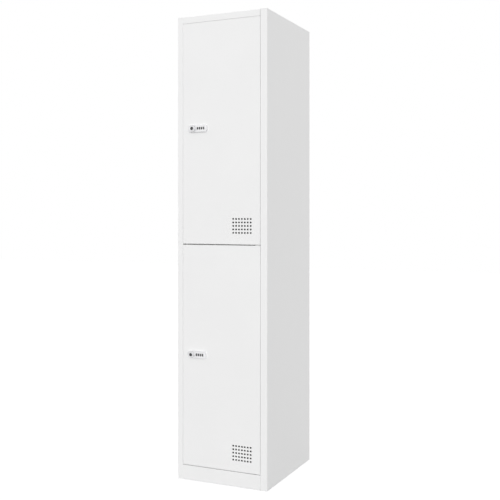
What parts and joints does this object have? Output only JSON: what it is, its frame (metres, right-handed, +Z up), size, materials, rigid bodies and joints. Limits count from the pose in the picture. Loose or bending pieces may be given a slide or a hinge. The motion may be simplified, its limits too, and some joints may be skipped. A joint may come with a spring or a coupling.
{
  "type": "slim locker",
  "caption": "Tall narrow sheet-steel locker with doors one above the other on pivot hinges, each with vent holes and a combination cam lock with a key override.",
  "frame": {"origin": "middle of the bounding box on the floor, 8 mm in front of the middle of the carcass because the lock knobs stand 16 mm proud of the doors", "axes": "+X to the right seen from the front, +Y from the doors to the back panel, +Z up"},
  "size_m": [0.38, 0.466, 1.8],
  "materials": {
    "body_paint": "white powder coat, fine orange peel, semi-matt",
    "door_paint": "white powder coat, fine orange peel, semi-matt",
    "lock_metal": "satin chrome plating on a zinc die casting",
    "zinc_steel": "bright zinc plated",
    "dark_metal": "blackened",
    "dial_plastic": "moulded black, satin",
    "nylon": "moulded natural nylon",
    "rubber": "moulded grey"
  },
  "bodies": {
    "carcass": {"left_side_panel": "body_paint", "right_side_panel": "body_paint", "back_panel": "body_paint", "top_panel": "body_paint", "bottom_panel": "body_paint", "divider_shelf": "body_paint", "kick_plate": "body_paint", "top_hinge_pin": "zinc_steel", "middle_hinge_plate": "body_paint", "middle_hinge_pin": "zinc_steel", "bottom_hinge_pin": "zinc_steel", "lower_coat_rail": "zinc_steel", "lower_left_rail_socket": "nylon", "lower_right_rail_socket": "nylon", "lower_low_buffer": "rubber", "lower_high_buffer": "rubber", "upper_coat_rail": "zinc_steel", "upper_left_rail_socket": "nylon", "upper_right_rail_socket": "nylon", "upper_low_buffer": "rubber", "upper_high_buffer": "rubber"},
    "lower_door": {"lower_door_panel": "door_paint", "lower_door_stiffener": "door_paint", "lower_door_bottom_bush": "nylon", "lower_door_top_bush": "nylon", "lower_lock_housing": "lock_metal", "lower_lock_back_cover": "zinc_steel", "lower_lock_dial_axle": "zinc_steel", "lower_lock_screw_high": "zinc_steel", "lower_lock_screw_low": "zinc_steel"},
    "lower_knob": {"lower_lock_knob": "lock_metal", "lower_lock_cam": "zinc_steel", "lower_lock_cam_screw": "zinc_steel"},
    "lower_key_plug": {"lower_lock_key_plug": "dark_metal"},
    "lower_dial_1": {"lower_lock_dial_1": "dial_plastic"},
    "lower_dial_2": {"lower_lock_dial_2": "dial_plastic"},
    "lower_dial_3": {"lower_lock_dial_3": "dial_plastic"},
    "lower_dial_4": {"lower_lock_dial_4": "dial_plastic"},
    "upper_door": {"upper_door_panel": "door_paint", "upper_door_stiffener": "door_paint", "upper_door_bottom_bush": "nylon", "upper_door_top_bush": "nylon", "upper_lock_housing": "lock_metal", "upper_lock_back_cover": "zinc_steel", "upper_lock_dial_axle": "zinc_steel", "upper_lock_screw_high": "zinc_steel", "upper_lock_screw_low": "zinc_steel"},
    "upper_knob": {"upper_lock_knob": "lock_metal", "upper_lock_cam": "zinc_steel", "upper_lock_cam_screw": "zinc_steel"},
    "upper_key_plug": {"upper_lock_key_plug": "dark_metal"},
    "upper_dial_1": {"upper_lock_dial_1": "dial_plastic"},
    "upper_dial_2": {"upper_lock_dial_2": "dial_plastic"},
    "upper_dial_3": {"upper_lock_dial_3": "dial_plastic"},
    "upper_dial_4": {"upper_lock_dial_4": "dial_plastic"}
  },
  "joints": [
    {"name": "lower_door_hinge", "type": "hinge", "parent": "carcass", "child": "lower_door", "pos_m": [0.1514, -0.212, 0.4863], "axis": [0, 0, 1], "range_deg": [0, 120]},
    {"name": "lower_knob_turn", "type": "hinge", "parent": "lower_door", "child": "lower_knob", "pos_m": [-0.125, -0.217, 0.4904], "axis": [0, 1, 0], "range_deg": [0, 90]},
    {"name": "lower_key_turn", "type": "hinge", "parent": "lower_knob", "child": "lower_key_plug", "pos_m": [-0.125, -0.217, 0.4904], "axis": [0, 1, 0], "range_deg": [0, 90]},
    {"name": "lower_dial_1_turn", "type": "hinge", "parent": "lower_door", "child": "lower_dial_1", "pos_m": [-0.1036, -0.2197, 0.4904], "axis": [1, 0, 0], "continuous": true},
    {"name": "lower_dial_2_turn", "type": "hinge", "parent": "lower_door", "child": "lower_dial_2", "pos_m": [-0.0948, -0.2197, 0.4904], "axis": [1, 0, 0], "continuous": true},
    {"name": "lower_dial_3_turn", "type": "hinge", "parent": "lower_door", "child": "lower_dial_3", "pos_m": [-0.086, -0.2197, 0.4904], "axis": [1, 0, 0], "continuous": true},
    {"name": "lower_dial_4_turn", "type": "hinge", "parent": "lower_door", "child": "lower_dial_4", "pos_m": [-0.0772, -0.2197, 0.4904], "axis": [1, 0, 0], "continuous": true},
    {"name": "upper_door_hinge", "type": "hinge", "parent": "carcass", "child": "upper_door", "pos_m": [0.1514, -0.212, 1.3461], "axis": [0, 0, 1], "range_deg": [0, 120]},
    {"name": "upper_knob_turn", "type": "hinge", "parent": "upper_door", "child": "upper_knob", "pos_m": [-0.1206, -0.217, 1.36415], "axis": [0, 1, 0], "range_deg": [0, 90]},
    {"name": "upper_key_turn", "type": "hinge", "parent": "upper_knob", "child": "upper_key_plug", "pos_m": [-0.1206, -0.217, 1.36415], "axis": [0, 1, 0], "range_deg": [0, 90]},
    {"name": "upper_dial_1_turn", "type": "hinge", "parent": "upper_door", "child": "upper_dial_1", "pos_m": [-0.0992, -0.2197, 1.36415], "axis": [1, 0, 0], "continuous": true},
    {"name": "upper_dial_2_turn", "type": "hinge", "parent": "upper_door", "child": "upper_dial_2", "pos_m": [-0.0904, -0.2197, 1.36415], "axis": [1, 0, 0], "continuous": true},
    {"name": "upper_dial_3_turn", "type": "hinge", "parent": "upper_door", "child": "upper_dial_3", "pos_m": [-0.0816, -0.2197, 1.36415], "axis": [1, 0, 0], "continuous": true},
    {"name": "upper_dial_4_turn", "type": "hinge", "parent": "upper_door", "child": "upper_dial_4", "pos_m": [-0.0728, -0.2197, 1.36415], "axis": [1, 0, 0], "continuous": true}
  ]
}
